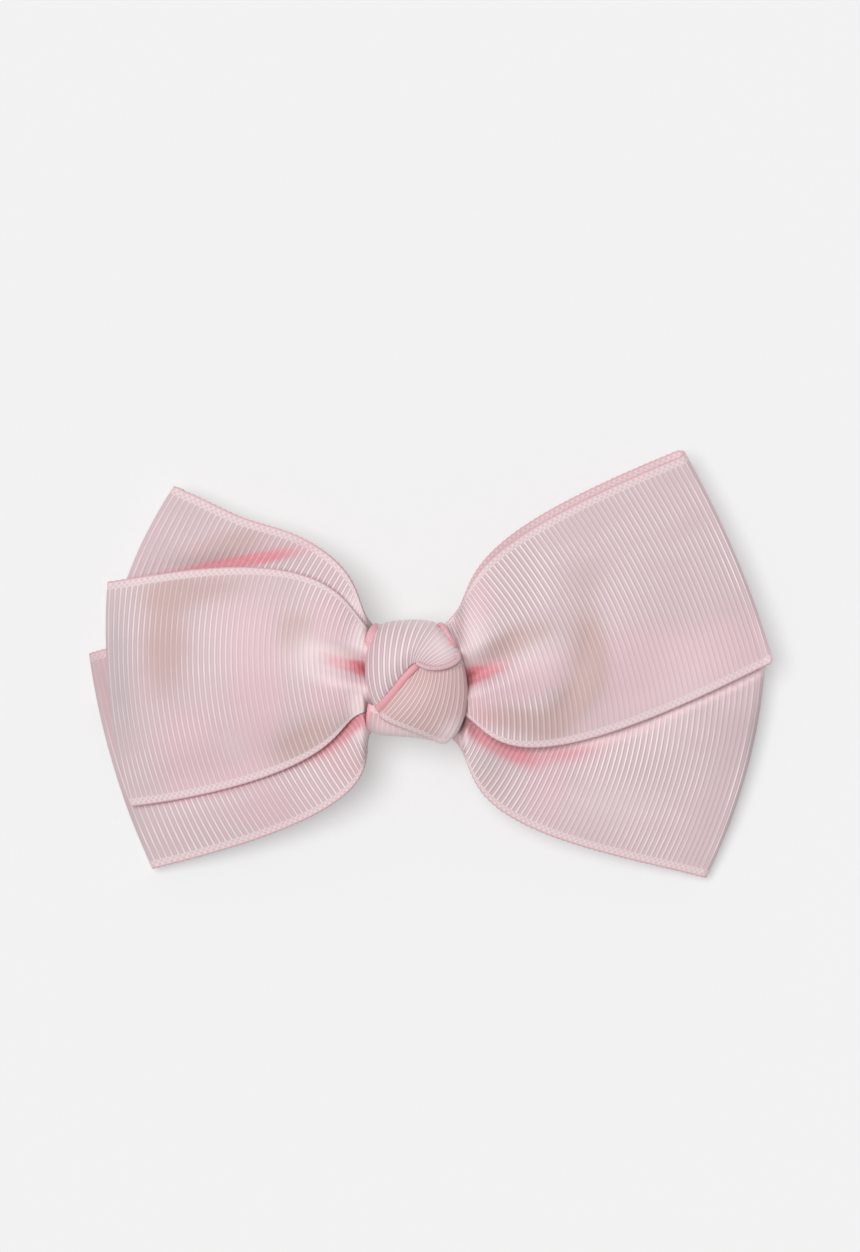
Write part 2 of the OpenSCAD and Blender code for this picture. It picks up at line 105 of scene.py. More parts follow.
class Finish:
    def __init__(self, name, **plain):
        self.material = bpy.data.materials.new(name)
        self.material.use_nodes = True
        self.tree = self.material.node_tree
        self.shader = self.tree.nodes["Principled BSDF"]
        self.give(**plain)

    def feed(self, socket, value):
        if isinstance(value, Signal):
            self.tree.links.new(value.socket, socket)
        elif socket.type == "RGBA":
            socket.default_value = (*value, 1)
        else:
            socket.default_value = value

    def give(self, **values):
        for name, value in values.items():
            self.feed(self.shader.inputs[name.replace("_", " ")], value)

    def node(self, kind, settings=None, values=None, out=0):
        made = self.tree.nodes.new(kind)
        for key, value in (settings or {}).items():
            setattr(made, key, value)
        for key, value in (values or {}).items():
            self.feed(made.inputs[key], value)
        return Signal(self, made.outputs[out])

    def number(self, name):                            # a number kept on the mesh's points
        return self.node("ShaderNodeAttribute", {"attribute_name": name}, out=2)

    def blend(self, factor, first, second):
        return self.node("ShaderNodeMix", {"data_type": "RGBA"}, {0: factor, 6: first, 7: second}, out=2)

    def vector(self, x, y):
        return self.node("ShaderNodeCombineXYZ", None, {0: x, 1: y})

    def place(self, scale=(1, 1, 1)):
        here = self.node("ShaderNodeTexCoord", out=3)
        return self.node("ShaderNodeMapping", None, {"Vector": here, "Scale": scale})

    def cloud(self, vector, scale, detail=2.0, roughness=0.5):
        return self.node("ShaderNodeTexNoise", None,
                         {"Vector": vector, "Scale": scale, "Detail": detail, "Roughness": roughness})

    def bump(self, height, distance, strength=1.0):
        values = {"Strength": strength, "Distance": distance, "Height": height}
        return self.node("ShaderNodeBump", None, values)


def linear(*rgb):                                      # an ordinary colour, 0 to 255, as the shader takes it
    return tuple(c / 255 / 12.92 if c <= 10 else ((c / 255 + 0.055) / 1.055) ** 2.4 for c in rgb)


# woven ribbon: cords across it, stitches along both edges, painted shade in deeper pink where folds face
# each other
# sizes in mm, braid in stitches to a mm, stitch as a share of height, rows to a cord

weave = {"pitch": 0.96, "height": 0.09, "half": 0.09, "side": 0.1, "edge": 1.35, "braid": 1.1, "stitch": 0.8,
         "rows": 6}
firstCord = {"bow": 1000, "knot": 500, "roll": 300, "wrap": 100}     # each ribbon's start in the pattern
mend = {"merge": 1e-7, "sliver": 1e-8}                               # metres, for closing a mesh

grosgrainLook = {
    # flank is the ribbon's own colour; the crest colour is a painted highlight on the cord tops
    "flank": linear(213, 190, 194), "crestHighlight": linear(252, 238, 239), "shadeLineAndGaps": linear(176, 150, 155),
    # painted light: a rosier, lighter flank and highlight for lit patches
    "roseLightAndPatches": linear(223, 190, 197), "roseLightHighlight": linear(246, 222, 226),
    # painted shade: a tan shadow
    "tanShadow": linear(200, 170, 167), "tanShadowHighlight": linear(226, 200, 196),
    # painted shade: deeper pink for recesses, under overlapping edges and in folds
    "darkestRecessShade": linear(192, 84, 96), "recessShadeColour": linear(220, 138, 149), "recessShadeHighlight": linear(242, 176, 184),
    "edge": linear(238, 216, 218), "hem": linear(230, 182, 190),
    # painted shade and painted light for soft spots
    "paintedShade": linear(168, 160, 162), "paintedLight": linear(255, 236, 238), "roughness": 0.55,
    "gathered": (0.028, 0.012),                        # metres from the middle: where the painted highlights begin to sharpen, and where they are sharpest
}


def grosgrainFinish(name, look):
    f = Finish(name, Roughness=look["roughness"], Specular_IOR_Level=0.35, Sheen_Weight=0.2,
               Sheen_Roughness=0.4)
    along, span, rim, recessShade, tanShadow, roseLightAndPatches, highlightCrisp, shade = (
        f.number(n) for n in ("along", "span", "rim", "recessShade", "tanShadow", "roseLightAndPatches", "highlightCrisp", "shade"))
    crestHighlight = 1 - abs(along.part() - 0.5) * 2                       # 1 on top of a cord, 0 between two
    threads = f.cloud(f.vector(along * 1.6, span * 9.0), 1.0, 3.0, 0.6)
    # random wide patches where the painted highlights and shade lines fade
    fading = f.cloud(f.vector(along * 0.06, span * 0.14), 1.0, 2.0)     # wide patches where the cords fade
    sideways = f.node("ShaderNodeSeparateXYZ", None, {"Vector": f.node("ShaderNodeTexCoord", out=3)})
    gather = abs(sideways).limit(*look["gathered"])
    # how clear the painted highlights and painted shade lines are, clearer near the middle of the bow
    clear = ((highlightCrisp + gather * 0.35) * (0.55 + fading * 0.9)).limit(0.0, 1.0)
    strength = (0.26 + clear * 0.7) * (0.75 + threads * 0.5) * (0.7 + fading.limit(0.3, 0.6) * 0.35)
    # painted highlight: a thin light line along the top of each cord
    line = (crestHighlight.limit(0.55, 0.95) * strength).limit(0.0, 1.0)
    # painted shade: a darker line on each side of the highlight; its colour also fills the stitch gaps
    shadeLineAndGaps = crestHighlight.limit(0.3, 0.5) * (1 - crestHighlight.limit(0.5, 0.7)) * (0.1 + clear * 0.5) * (0.4 + threads)
    # painted light: rosier, lighter spots from the listed amounts, with random rose patches added
    patches = f.cloud(f.place(), 60.0, 2.0)
    roseLightAndPatches = (roseLightAndPatches + patches.limit(0.42, 0.7) * 0.3).limit(0.0, 1.0)
    flank = f.blend(roseLightAndPatches, look["flank"], look["roseLightAndPatches"])
    top = f.blend(roseLightAndPatches, look["crestHighlight"], look["roseLightHighlight"])
    plain = f.blend(line, flank, top)
    # painted shade: tan shadow in soft spots
    plain = f.blend(tanShadow.limit(0.0, 1.0) * 0.9, plain, f.blend(line, look["tanShadow"], look["tanShadowHighlight"]))
    plain = f.blend(shadeLineAndGaps, plain, look["shadeLineAndGaps"])
    # painted shade: deeper pink, with its own painted highlight on the cords
    recessShadeColour = f.blend(line * 0.7, look["recessShadeColour"], look["recessShadeHighlight"])
    oneWay = 1 - abs((along + rim * weave["braid"]).part() - 0.5) * 2
    otherWay = 1 - abs((along - rim * weave["braid"]).part() - 0.5) * 2
    holes = (oneWay * otherWay).limit(0.1, 0.45) * rim.limit(0.1, 0.4)   # gaps between the stitches
    bead = f.blend(holes * (0.15 + threads * 0.4), look["edge"], look["shadeLineAndGaps"])
    bead = f.blend(1 - rim.limit(0.05, 0.3), bead, look["hem"])
    border = 1 - rim.limit(weave["edge"] * 0.8, weave["edge"] * 1.1)
    colour = f.blend(border * 0.85, plain, bead)
    # painted shade: darkest where the recess shade amount rises above 1
    recessShadeColour = f.blend((recessShade - 1).limit(0.0, 1.0), recessShadeColour, look["darkestRecessShade"])
    # painted light: where shade is below 0 the colour turns paler, lightening places that lie in shadow
    colour = f.blend((0 - shade).limit(0.0, 1.0) * 0.75, colour, look["paintedLight"])
    # painted shade: deeper pink by the recess shade amount
    colour = f.blend(recessShade.limit(0.0, 1.0) * 0.9, colour, recessShadeColour)
    # painted shade: where shade is above 0 the colour turns darker and greyer
    colour = f.blend(shade.limit(0.0, 1.0) * 0.5, colour, look["paintedShade"])
    f.give(Base_Color=colour, Normal=f.bump(threads, 0.00006, 0.5))
    return f.material


def smooth(a):
    a = np.clip(a, 0, 1)
    return a * a * (3 - 2 * a)


def unit(a):
    return a / np.maximum(np.linalg.norm(a, axis=-1, keepdims=True), 1e-9)


def showPiece(name, mesh, material, body="bow"):      # with no body the piece is attached to none
    piece = bpy.data.objects.new(name, mesh)
    bpy.context.collection.objects.link(piece)
    mesh.materials.clear()
    mesh.materials.append(material)
    mesh.polygons.foreach_set("use_smooth", [True] * len(mesh.polygons))
    if body:
        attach(piece, body)
    return piece


def gridMesh(name, points, numbers):                  # a skin over rows of points in mm
    rows, cols = points.shape[:2]
    bm = bmesh.new()
    bmesh.ops.create_grid(bm, x_segments=cols - 1, y_segments=rows - 1, size=1)
    mesh = bpy.data.meshes.new(name)
    bm.to_mesh(mesh)
    bm.free()
    flat = np.empty(len(mesh.vertices) * 3, np.float32)
    mesh.vertices.foreach_get("co", flat)
    flat = flat.reshape(-1, 3)
    col = np.rint((flat[:, 0] + 1) / 2 * (cols - 1)).astype(int)
    row = np.rint((flat[:, 1] + 1) / 2 * (rows - 1)).astype(int)
    mesh.vertices.foreach_set("co", (points * mm)[row, col].astype(np.float32).ravel())
    for key, value in numbers.items():
        kept = mesh.attributes.new(key, "FLOAT", "POINT")
        kept.data.foreach_set("value", value[row, col].astype(np.float32))
    bm = bmesh.new()
    bm.from_mesh(mesh)
    bmesh.ops.remove_doubles(bm, verts=bm.verts, dist=mend["merge"])
    bmesh.ops.dissolve_degenerate(bm, edges=bm.edges, dist=mend["sliver"])
    bmesh.ops.recalc_face_normals(bm, faces=bm.faces)
    bm.to_mesh(mesh)
    bm.free()
    return mesh


# a closed sheet round a grid of middle points, in mm: along counts cords, span is mm from one edge,
# cord scales the relief, trim takes the stitches off the far edge, and the tones paint light and shade

def wovenSheet(name, middle, along, span, material, recessShade=0.0, tanShadow=0.0, roseLightAndPatches=0.0, highlightCrisp=0.5, shade=0.0,
               cord=1.0, trim=0.0):
    rows, cols = middle.shape[:2]
    half = weave["half"]
    along = np.broadcast_to(np.asarray(along, float).reshape(rows, -1), (rows, cols))
    span = np.broadcast_to(np.asarray(span, float).reshape(-1, cols), (rows, cols))
    tones = {"recessShade": recessShade, "tanShadow": tanShadow, "roseLightAndPatches": roseLightAndPatches, "highlightCrisp": highlightCrisp, "shade": shade}
    tones = {key: np.broadcast_to(np.asarray(a, float), (rows, cols)) for key, a in tones.items()}
    rim = np.minimum(span, span[:, -1:] - span + trim)
    down = unit(np.gradient(middle, axis=0))
    over = unit(np.gradient(middle, axis=1))
    out = unit(np.cross(down, over))
    ridge = np.sin(math.pi * along) ** 2
    oneWay = np.sin(math.pi * (along + rim * weave["braid"]))
    otherWay = np.sin(math.pi * (along - rim * weave["braid"]))
    braid = 1 - np.abs(oneWay * otherWay)
    inner = smooth((rim - weave["edge"] * 0.75) / (weave["edge"] * 0.4))       # 0 in the stitches
    relief = ridge * inner + weave["stitch"] * braid * (1 - inner)
    lift = (half + cord * weave["height"] * relief)[..., None]
    beyond = (half + weave["side"] * cord * ridge)[..., None]
    left = middle - over * beyond
    right = middle + over * beyond

    def ring(top, bottom, leftSide, rightSide):
        return np.concatenate([top, rightSide[:, -1:], bottom[:, ::-1], leftSide[:, :1], top[:, :1]], 1)

    body = ring(middle + out * lift, middle - out * lift, left, right)
    first = middle[:1] - down[:1] * half
    last = middle[-1:] + down[-1:] * half
    points = np.concatenate([ring(*[first] * 4), body, ring(*[last] * 4)])
    numbers = {"along": along, "span": span, "rim": rim} | tones
    numbers = {k: ring(*[np.concatenate([a[:1], a, a[-1:]])] * 4) for k, a in numbers.items()}
    return showPiece(name, gridMesh(name, points, numbers), material)


def acrossSteps(width, middleSteps):                  # mm from one edge, in closer steps at the stitches
    edge = [0, 0.28, 0.65, 1.0, 1.35, 1.9]
    inside = 2.9
    middle = np.linspace(inside, width - inside, middleSteps)
    return np.array(edge + list(middle) + [width - e for e in reversed(edge)])


# the bow ribbon: five stretches gathered over each other at the waist

waist = {"top": 13.75, "step": 1.3, "pleat": 1.6, "pleatMiddle": 1.0, "pinch": 1.0,
         "ends": [(-5, 6.5), (-5.75, 5.25), (-6.5, 4), (-5.25, 5.25), (-4, 6.5)]}
fold = {"width": 38.0, "height": 2.6, "out": 1.5}
gathers = {"centre": 1.4, "knotEdge": 8.5, "leftFan": 0.28, "rightFan": 0.45,
           "reach": 7.2, "above": 2.3, "below": -0.8, "atWaist": 0.72, "growth": 0.035,
           "openFrom": 6, "openOver": 3, "fadeFrom": 21, "fadeOver": 12, "sinkWide": 1.5}
laying = {"noseSteps": 16, "steps": 260, "packedFrom": 20, "packedOver": 14, "innerOver": 6,
          "pinchShade": 0.76, "innerShade": 0.25}

# each stretch: its layer at the waist, where its fold or cut end is, three rows of handles from the waist to
# the fold (lower edge, middle, upper edge), and oval spots of shape and of painted light and shade; Back is
# the rear layer

stretches = {
    "front_left_tail": {
        "layer": 0, "reach": 50, "turn": 182.4, "skew": 3.2, "bow": 1.6, "edge": [-5.5, -1, -1],
        "near": [[-22.5, -2.5, 1], [-20, 0, 1.7], [-17, 3, 1.1]],
        "far": [[3, -12, 4.5], [2, 8.5, 9], [1.5, 29, 5.5]],
        "ease": [[12, -2], [10.5, 2.5], [9, 1]],
        "gather": (0.24, 0.08), "bulge": (0.9, 1.4), "lean": (0.9, -0.2),
        "press": [(-38, -16, 8, 3, 12, -0.6), (-26, -12.5, 8, 3, 16, -0.6)],
        "shade": [(-50.5, 2, 4, 16, 3, 0.75), (-9, -4, 2, 3, 0, -1.3), (-9, 7, 2, 4, 0, -0.9),
                  (-28, 8, 10, 10, 0, -0.2), (-30, -11, 5, 4, 0, -0.3), (-18, 5, 4, 5, 0, -0.4),
                  (-13, 4.2, 4, 2.2, -15, -1.1), (-13, 0, 4, 1.6, -15, -0.5)],
        "dents": [(-21, 9, 4, 5, 0, -0.5), (-33, -4, 5, 9, 10, 0.6), (-17, -6, 3, 4, 0, -0.4)],
        "recessShade": [(-7.8, 8, 0.9, 2.4, 0, 0.6), (-8.4, 2.2, 2.1, 0.9, -28, 1.5),
                  (-12.5, 2.6, 3, 2, -15, -0.25)],
        "tanShadow": [(-20, 8.4, 3.6, 4.0, 0, 0.9), (-42, 6, 4.5, 9, 0, 1.0), (-37, 15.5, 9, 3, 6, 0.9),
                (-18, -9.8, 7, 3.6, 28, 1.1)],
        "highlightCrisp": (0.3, [(-38, 4, 8, 20, 0, 0.25), (-48, 2, 4, 18, 0, 0.3)]),
        "roseLightAndPatches": [(-26, -3, 4, 11, 0, 1.0), (-28, 7, 9, 9, 0, 0.5), (-38, -12, 7, 6, 0, 0.8),
                 (-14, 9, 5, 6, 0, 0.9), (-12.5, -2.5, 5, 3, 0, 1.2), (-30, -16, 14, 3, 14, 0.6)],
    },
    "upper_right_loop": {
        "layer": 0, "reach": 57.2, "turn": 21.4, "skew": 1.4, "bow": 1.1, "edge": [-2.5, -3, -4.5],
        "near": [[19.5, 1.5, 1], [18, 8, 1.2], [17, 15, 1.1]],
        "far": [[-2, -29.5, 5], [-2.5, -6, 9.3], [-3, 17, 6]],
        "ease": [[8, 0.5], [13, 1.5], [18, -0.5]],
        "nearBack": [[19.5, 1.5, -0.5], [18, 8, -0.5], [17, 15, -0.6]],
        "farBack": [[-2, -29.5, 0.6], [-2.5, -5, 0.3], [-3, 19, 0]],
        "easeBack": [[8, -3.3], [13, -4], [18, -5.5]],
        "gather": (0.15, 0.46), "bulge": (0.5, 1.6), "lean": (0.1, -1.1),
        "slip": 1.2,
        "press": [(29, -11.5, 8, 7, 8, -1.7), (44, -6, 10, 7, 23, -1.6), (57, 0, 7, 7, 25, -1.3)],
        "pressBack": [(30, -10, 8, 4, 12, 0.9), (45, -4.5, 9, 4, 23, 0.8), (56, 1, 6, 4, 25, 0.4)],
        "shade": [(10, 7, 3, 6, 0, -0.5), (10, 0, 1.6, 3, 0, -0.6), (40, -3.5, 17, 4, 20, -0.3),
                  (59, 14, 1.6, 12, 25, 0.5), (22, 4, 5, 5, 0, -0.45), (47, 5, 12, 6, 15, -0.3)],
        "dents": [(27, 1, 9, 3.2, 72, -1.1), (20, 4, 3, 4, 0, 0.5), (37, 12, 8, 6, 60, 0.5)],
        "recessShade": [(9.4, 1.6, 2.4, 1.1, 20, 1.2), (12, -6, 4, 2.4, -20, 0.35)],
        "tanShadow": [(16.5, 6.8, 7, 2.4, 22, 1.1), (29.6, 5, 3.2, 7, 4, 1.1), (26, -4, 5.5, 3.2, 52, 1.1),
                (17.5, -6.4, 7, 2.6, -14, 1.0), (28, 17, 5, 4, 40, 0.4)],
        "highlightCrisp": (0.3, [(17, 17, 9, 9, 0, 0.5), (40, 22, 16, 9, 25, 0.2), (16, -5, 6, 4, 0, 0.5),
                        (55, 18, 2, 16, 25, 0.5)]),
        "roseLightAndPatches": [(20.5, 1.4, 6, 2.8, 28, 1.4), (43, 3.4, 14, 5.5, 13, 0.9), (42, -3, 14, 3.5, 21, 0.8),
                 (11, 13, 3, 5, 0, 0.8), (11, -3, 3, 2.5, 0, 0.8)],
    },
    "lower_left_loop": {
        "layer": 1, "reach": 51.8, "turn": 195.2, "skew": 0.6, "bow": 1.4, "edge": [-9.9, -6.5, -4],
        "near": [[-23, -7.5, -1.5], [-20, -3.5, -0.5], [-17, 0.5, -0.7]],
        "far": [[16, -17.5, 1.1], [6, -2, 2.9], [-4, 14, 1.1]],
        "ease": [[10, -6], [12, -2.5], [14, -2]],
        "nearBack": [[-23, -7.5, -2.7], [-20, -3.5, -2.1], [-17, 0.5, -2.3]],
        "farBack": [[16, -17.5, -2.3], [6, -2, -2.1], [-4, 14, -1.7]],
        "easeBack": [[10, -10.5], [12, -7.9], [14, -5.5]],
        "gather": (0.05, 0.23), "bulge": (-1.8, 3.9), "lean": (-0.7, 2.8),
        "dents": [],
        "recessShade": [(-53, 0, 3, 14, 15, 0.32), (-12, -14, 4, 3.5, 0, 0.3), (-11.5, -7.4, 7, 1.6, 36, 1.5),
                  (-24, -14.8, 9, 1.2, 20, 0.6), (-40, -19.4, 10, 1.0, 9, 0.6)],
        "tanShadow": [(-8.5, -15, 2, 5, 0, 0.6)],
        "press": [(-7.9, -6.6, 1.5, 1.9, 0, 1.7), (-39, -22.5, 9, 5, 8, 1.0),
                  (-27, -19, 9, 5, 14, 1.0)],
        "shade": [(-49, -22, 3, 10, 18, 0.5), (-53.5, 0, 3, 13, 15, 0.5), (-8.6, -6.5, 2.2, 3, 0, -1.5),
                  (-28, -31, 20, 2.5, 15, 0.4)],
        "highlightCrisp": (0.55, [(-15, -14, 9, 8, 0, 0.4), (-53, 0, 3, 14, 15, -0.4)]),
        "roseLightAndPatches": [(-27, -22, 12, 4, 12, 0.5)],
    },
    "lower_right_loop": {
        "layer": 2, "reach": 56.6, "turn": -15.4, "skew": 0.4, "bow": 1.8, "edge": [-9.9, -7.5, -6.2],
        "near": [[19.5, -11.5, -3.1], [19, -6, -2.5], [18, -1, -2.4]],
        "far": [[-6, -22.5, -1], [-1, -5, -0.3], [4, 12, -1.5]],
        "ease": [[16.5, -6], [15, -4], [14, -4.7]],
        "nearBack": [[19.5, -11.5, -3.8], [19, -6, -3.5], [18, -1, -3.5]],
        "farBack": [[-6, -22.5, -3.1], [-1, -5, -2.3], [4, 12, -2.5]],
        "easeBack": [[16.5, -10.5], [15, -8.5], [14, -7.9]],
        "press": [(8, -8.4, 1.7, 1.9, 0, 2.2), (22, -14, 7, 5, -5, 1.0), (35, -13, 11, 7, 14, 2.1),
                  (48, -7.5, 9, 7, 23, 2.0), (56, -3, 5, 6, 24, 0.6)],
        "shade": [(55.5, -24, 2, 10, -19, 1.3), (58.5, -8, 1.8, 9, -15, 0.9), (13, -13, 5, 4, -40, 0.5),
                  (21, -14.5, 6, 2.5, -5, 0.3), (33, -20, 13, 6, -8, -0.4), (47, -13, 8, 6, 0, -0.25),
                  (8.6, -8, 2.2, 3, -20, -1.6), (30, -9.7, 9, 1.3, 12, -1.0),
                  (45, -4.2, 10, 1.1, 23, -1.2), (56, 0.8, 6, 1.0, 24, -1.2)],
        "gather": (0.21, 0.2), "bulge": (1.7, 4.4), "lean": (0.3, -1.1),
        "dents": [],
        "recessShade": [(13.5, -10, 7, 1.8, -31, 1.3), (24, -12, 7, 2.0, 0, 0.6),
                  (34, -9.2, 8, 1.3, 17, 0.35), (46, -4.3, 9, 0.6, 23, 0.35),
                  (56, 0.2, 6, 0.5, 24, 0.35)],
        "tanShadow": [(12, -17, 5, 4, -50, 0.5)],
        "highlightCrisp": (0.45, [(34, -13, 16, 8, -10, 0.5), (51, -20, 2.6, 14, -17, -0.6),
                         (55.8, -16, 1.6, 18, -17, 0.8)]),
        "roseLightAndPatches": [(23, -19, 6, 5, 0, 0.5)],
    },
    "upper_left_loop": {
        "layer": 3, "reach": 49.6, "turn": 162.2, "skew": -1.6, "bow": 2.5, "edge": [-10.1, -8.1, -5],
        "near": [[-18, -6, -4.1], [-18, 2, -3.5], [-18, 10, -2.5]],
        "far": [[-6, -13, -5.5], [-2.5, 3, -3], [1, 19, 0.5]],
        "ease": [[14, -8.6], [17, -6.6], [20, -2.5]],
        "nearBack": [[-18, -6, -5.1], [-18, 2, -5.1], [-18, 10, -4.9]],
        "farBack": [[-6, -13, -5.9], [-2.5, 3, -4.7], [1, 19, -3.8]],
        "easeBack": [[14, -11.5], [17, -9.8], [20, -7]],
        "gather": (0.04, 0.51), "bulge": (4.0, -0.2), "lean": (-1.0, 0.0),
        "dents": [(-31, 20.3, 11, 1.5, 9, -1.3), (-21, 17, 12, 4, -14, 2.4),
                  (-13, 12.5, 6, 3.5, -40, 1.8)],
        "nudge": [(-30, 28, 8, 6, 0, -1.2)],
        "recessShade": [(-32.5, 20.0, 9, 0.9, 8, 1.0), (-25, 21.2, 7, 1.3, 12, 0.7),
                  (-43, 17.4, 7, 0.8, 5, 0.7)],
        "tanShadow": [(-31, 23.5, 8, 2.5, 14, 0.8)],
        "press": [(-10.5, 10.5, 4, 3.5, -45, 1.2)],
        "shade": [(-10, 11, 4, 4, 0, -1.0)],
        "highlightCrisp": (0.35, [(-20, 19, 8, 6, 0, 0.5)]),
        "roseLightAndPatches": [(-14, 15, 4, 6, 0, 0.5)],
    },
}


def across3(three, v):                                 # lower edge, middle, upper edge
    return three[0] * v * (v - 1) / 2 + three[1] * (1 - v * v) + three[2] * v * (v + 1) / 2


def pleat(x, y):                                       # height of the pinch beside the knot, and how far in it a point lies, for painted shade
    g = gathers
    far = np.abs(x)
    centre = (g["centre"] - np.clip(x / g["knotEdge"], -1, 1)
              + np.maximum(0, far - g["knotEdge"]) * np.where(x < 0, g["leftFan"], g["rightFan"]))
    wider = np.where(y > centre, g["above"], g["below"]) * smooth(x / 17 + 0.5)
    reach = (g["reach"] + wider) * (g["atWaist"] + g["growth"] * far)
    flat = smooth((far - g["openFrom"]) / g["openOver"])              # the outer folds open beside the knot
    phase = np.clip((y - centre) / reach, -1.5 + 0.9 * flat, 1 - 0.45 * flat)
    height = waist["pleatMiddle"] + (waist["pleat"] - waist["pleatMiddle"]) * np.clip(far / 8, 0, 1)
    fade = smooth((g["fadeFrom"] - far) / g["fadeOver"])
    near = smooth((far - 4) / 5) * smooth((18.5 - far) / 9)           # on both sides, clear of the knot
    sunk = waist["pinch"] * near * np.exp(-((y - centre) / g["sinkWide"]) ** 2)
    inside = smooth((19 - far) / 7) * smooth((1.9 - np.abs(y - centre + 0.4)) / 1.3)
    return -height * fade * np.cos(2 * math.pi * phase) - sunk, inside


def soften(spots, x, y):                               # soft ovals added up: x, y, long, short, lean, amount
    total = np.zeros_like(x)
    for spotX, spotY, long, short, lean, amount in spots:
        c = math.cos(math.radians(lean))
        s = math.sin(math.radians(lean))
        dx = x - spotX
        dy = y - spotY
        total += amount * np.exp(-((dx * c + dy * s) / long) ** 2 - ((dy * c - dx * s) / short) ** 2)
    return total


def foldPlan(style, v, stand, slid=0.0):               # a point of the fold line, seen from above
    turn = math.radians(style["turn"])
    square = math.radians(style["turn"] + style["skew"])
    out = np.array([math.cos(square), math.sin(square)])
    side = np.array([-out[1], out[0]]) * (-1 if out[0] < 0 else 1)
    centre = style["reach"] * np.array([math.cos(turn), math.sin(turn)])
    return (centre + out * (stand + style["bow"] * (1 - v * v))[..., None]
            + side * (v * fold["width"] / 2 + slid * style.get("slip", 0))[..., None])


# v runs from -1 at the lower edge to 1; t is 0 at the fold's nose, 1 where the fold ends, 2 at the waist

def ribbonPoint(style, v, t, back, pleated=True):
    tag = "Back" if back else ""
    near, far, ease = (np.array(style[key + tag], float).T for key in ("near", "far", "ease"))
    loop = "nearBack" in style
    square = math.radians(style["turn"] + style["skew"])
    out = np.array([math.cos(square), math.sin(square)])
    layer = style["layer"] + (1 if back else 0)
    low, up = waist["ends"][layer]
    turn = np.clip(t, 0, 1) * math.pi / 2
    slid = 0.5 + 0.5 * np.sin(turn) * (1 if back else -1)              # how far round the fold
    end = foldPlan(style, v, -fold["out"] if loop else 0.0 * v, slid)
    u = np.clip(2 - t, 0, 1)
    w = 1 - u
    b = (w ** 4, 4 * w ** 3 * u, 6 * w * w * u * u, 4 * w * u ** 3, u ** 4)
    q = end - out * across3(ease[0], v)[..., None]
    x = b[1] * across3(near[0], v) + b[2] * across3(far[0], v) + b[3] * q[..., 0] + b[4] * end[..., 0]
    y = (b[0] * (low * (1 - v) + up * (1 + v)) / 2 + b[1] * across3(near[1], v) + b[2] * across3(far[1], v)
         + b[3] * q[..., 1] + b[4] * end[..., 1])
    endHeight = across3(style["edge"], v) - (fold["height"] if back else 0)
    z = (-b[0] * layer * waist["step"] + b[1] * across3(near[2], v) + b[2] * across3(far[2], v)
         + b[3] * across3(ease[1], v) + b[4] * endHeight)
    y = y + soften(style.get("nudge", ()), x, y)
    if loop:
        plan = end + out * (fold["out"] * np.cos(turn))[..., None]
        nose = t < 1
        x = np.where(nose, plan[..., 0], x)
        y = np.where(nose, plan[..., 1], y)
        z = np.where(nose, across3(style["edge"], v) - fold["height"] * slid, z)
    if pleated:
        z = z + waist["top"] + pleat(x, y)[0] + soften(style["dents"], x, y)
        z = z + soften(style.get("press" + tag, ()), x, y) * smooth(t)
    return np.stack([x, y, z], -1)


def halfRibbon(style, v, back):                        # rows at equal steps of ribbon, fold to waist
    start = 0 if "nearBack" in style else 1
    nose = np.linspace(start, 1, laying["noseSteps"])[:-1] if start < 1 else []
    table = np.concatenate([nose, np.linspace(1, 2, laying["steps"])])
    vs, ts = np.meshgrid(v, table, indexing="ij")
    run = ribbonPoint(style, vs, ts, back, False)
    step = np.linalg.norm(np.diff(run, axis=1), axis=2)
    left = np.cumsum(step[:, ::-1], 1)[:, ::-1] - step / 2             # how far it still is to the waist
    low, up = style["gather"]
    extra = (low + (up - low) * smooth(0.5 + v / 1.6))[:, None]        # share of slack at the waist
    packed = 1 + extra * smooth((laying["packedFrom"] - left) / laying["packedOver"])
    length = np.concatenate([np.zeros((len(v), 1)), np.cumsum(step * packed, 1)], 1)
    count = int(round(length[:, -1].mean() / weave["pitch"] * weave["rows"]))
    f = np.arange(count + 1) / count
    near = f ** 4 * (1 - f) / 0.082                                    # 1 at its peak, close to the waist
    wide = f * (1 - f) * 4                                             # 1 at its peak, half way
    atFold = smooth(f / 0.12) * (1 - f)
    rows = np.empty((count + 1, len(v)))
    low, up = style["bulge"]
    leanMiddle, leanEdge = style["lean"]
    for i, across in enumerate(v):
        bulge = (low + (up - low) * smooth(0.5 + across / 1.2)) * (1 - across ** 2)
        shift = bulge * near + leanEdge * across * wide + leanMiddle * (1 - across ** 2) * atFold
        rows[:, i] = np.interp(f * length[i, -1] - shift, length[i], table)
    points = ribbonPoint(style, np.broadcast_to(v, rows.shape), rows, back)
    return points, np.arange(count + 1) / weave["rows"]


bowFinish = grosgrainFinish("bow_grosgrain", grosgrainLook)
spans = acrossSteps(fold["width"], 30)
side = spans / fold["width"] * 2 - 1

